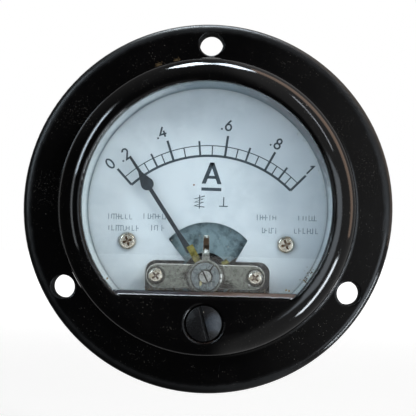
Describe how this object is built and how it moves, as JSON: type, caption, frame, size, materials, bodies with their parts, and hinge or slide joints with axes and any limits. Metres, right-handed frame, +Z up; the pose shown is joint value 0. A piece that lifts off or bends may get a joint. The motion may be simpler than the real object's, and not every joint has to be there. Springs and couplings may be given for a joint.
{
  "type": "analog panel meter",
  "caption": "Round flanged analog ammeter for panel mounting: pointer on a moving-iron movement behind glass, printed scale and a slotted zero adjuster.",
  "frame": {"origin": "centre of the flange's back face, which lies on the panel and is the centre of the circle of the mounting holes", "axes": "+Y runs from the dial into the panel, +Z is up on the dial, +X to the right of someone who reads it, so the dial faces -Y"},
  "size_m": [0.065, 0.0541, 0.065],
  "materials": {
    "front_cover": "glossy black moulding",
    "window_glass": "clear flat glass",
    "glass_shroud": "pale moulding",
    "zero_screw": "black, slotted",
    "zero_screw_clip": "spring steel",
    "zero_lever": "nickelled, with a rusty tail",
    "lever_washer": "split washer",
    "dial_plate": "pale matt enamel with a printed scale",
    "dial_screws": "nickelled",
    "dial_posts": "turned brass",
    "bridge": "tarnished nickel",
    "bridge_screws": "tarnished nickel",
    "bridge_posts": "turned brass",
    "jewel_bush": "turned brass",
    "front_jewel_screw": "nickelled screw with a jewel",
    "pointer": "matt black",
    "pointer_carrier": "tarnished brass",
    "balance_weights": "tarnished brass",
    "spindle": "polished steel",
    "spring_collet": "turned brass",
    "hairspring": "phosphor bronze ribbon",
    "damping_vane": "thin sheet",
    "moving_iron": "soft iron sheet",
    "damping_chamber": "dark anodised",
    "chamber_cover": "mottled blue grey",
    "movement_plate": "zinc plated sheet",
    "plate_screws": "nickelled",
    "coil_bobbin": "brown phenolic",
    "coil_winding": "enamelled copper wire",
    "fixed_iron": "soft iron sheet",
    "rear_bracket": "folded sheet",
    "rear_jewel_screw": "brass screw with a jewel",
    "rear_jewel_nut": "hexagonal brass nut",
    "coil_leads": "insulated wire",
    "rear_case": "black phenolic",
    "case_screws": "nickelled",
    "terminal_studs": "threaded brass",
    "solder_lugs": "tinned",
    "terminal_washers": "nickelled",
    "terminal_nuts": "hexagonal brass nuts"
  },
  "bodies": {
    "case": {"front_cover": "front_cover", "window_glass": "window_glass", "glass_shroud": "glass_shroud", "lever_washer": "lever_washer", "dial_plate": "dial_plate", "dial_screws": "dial_screws", "dial_posts": "dial_posts", "bridge": "bridge", "bridge_screws": "bridge_screws", "bridge_posts": "bridge_posts", "jewel_bush": "jewel_bush", "front_jewel_screw": "front_jewel_screw", "hairspring": "hairspring", "damping_chamber": "damping_chamber", "chamber_cover": "chamber_cover", "movement_plate": "movement_plate", "plate_screws": "plate_screws", "coil_bobbin": "coil_bobbin", "coil_winding": "coil_winding", "fixed_iron": "fixed_iron", "rear_bracket": "rear_bracket", "rear_jewel_screw": "rear_jewel_screw", "rear_jewel_nut": "rear_jewel_nut", "coil_leads": "coil_leads", "rear_case": "rear_case", "case_screws": "case_screws", "terminal_studs": "terminal_studs", "solder_lugs": "solder_lugs", "terminal_washers": "terminal_washers", "terminal_nuts": "terminal_nuts"},
    "zero_adjuster": {"zero_screw": "zero_screw", "zero_screw_clip": "zero_screw_clip"},
    "zero_lever_body": {"zero_lever": "zero_lever"},
    "pointer_system": {"pointer": "pointer", "pointer_carrier": "pointer_carrier", "balance_weights": "balance_weights", "spindle": "spindle", "spring_collet": "spring_collet", "damping_vane": "damping_vane", "moving_iron": "moving_iron"}
  },
  "joints": [
    {"name": "pointer_swing", "type": "hinge", "parent": "case", "child": "pointer_system", "pos_m": [0, 0, -0.01195], "axis": [0, 1, 0], "range_deg": [-12, 81], "stiffness_Nm_per_rad": 0.0001, "deforming": ["hairspring"]},
    {"name": "zero_screw_turn", "type": "hinge", "parent": "case", "child": "zero_adjuster", "pos_m": [0, 0, -0.0196], "axis": [0, 1, 0], "range_deg": [-40, 40]},
    {"name": "zero_lever_turn", "type": "hinge", "parent": "case", "child": "zero_lever_body", "pos_m": [0, 0, -0.01195], "axis": [0, 1, 0], "range_deg": [-6, 6], "deforming": ["hairspring"]}
  ],
  "couplings": [
    {"joint": "zero_lever_turn", "follows": "zero_screw_turn", "ratio": -0.11}
  ]
}
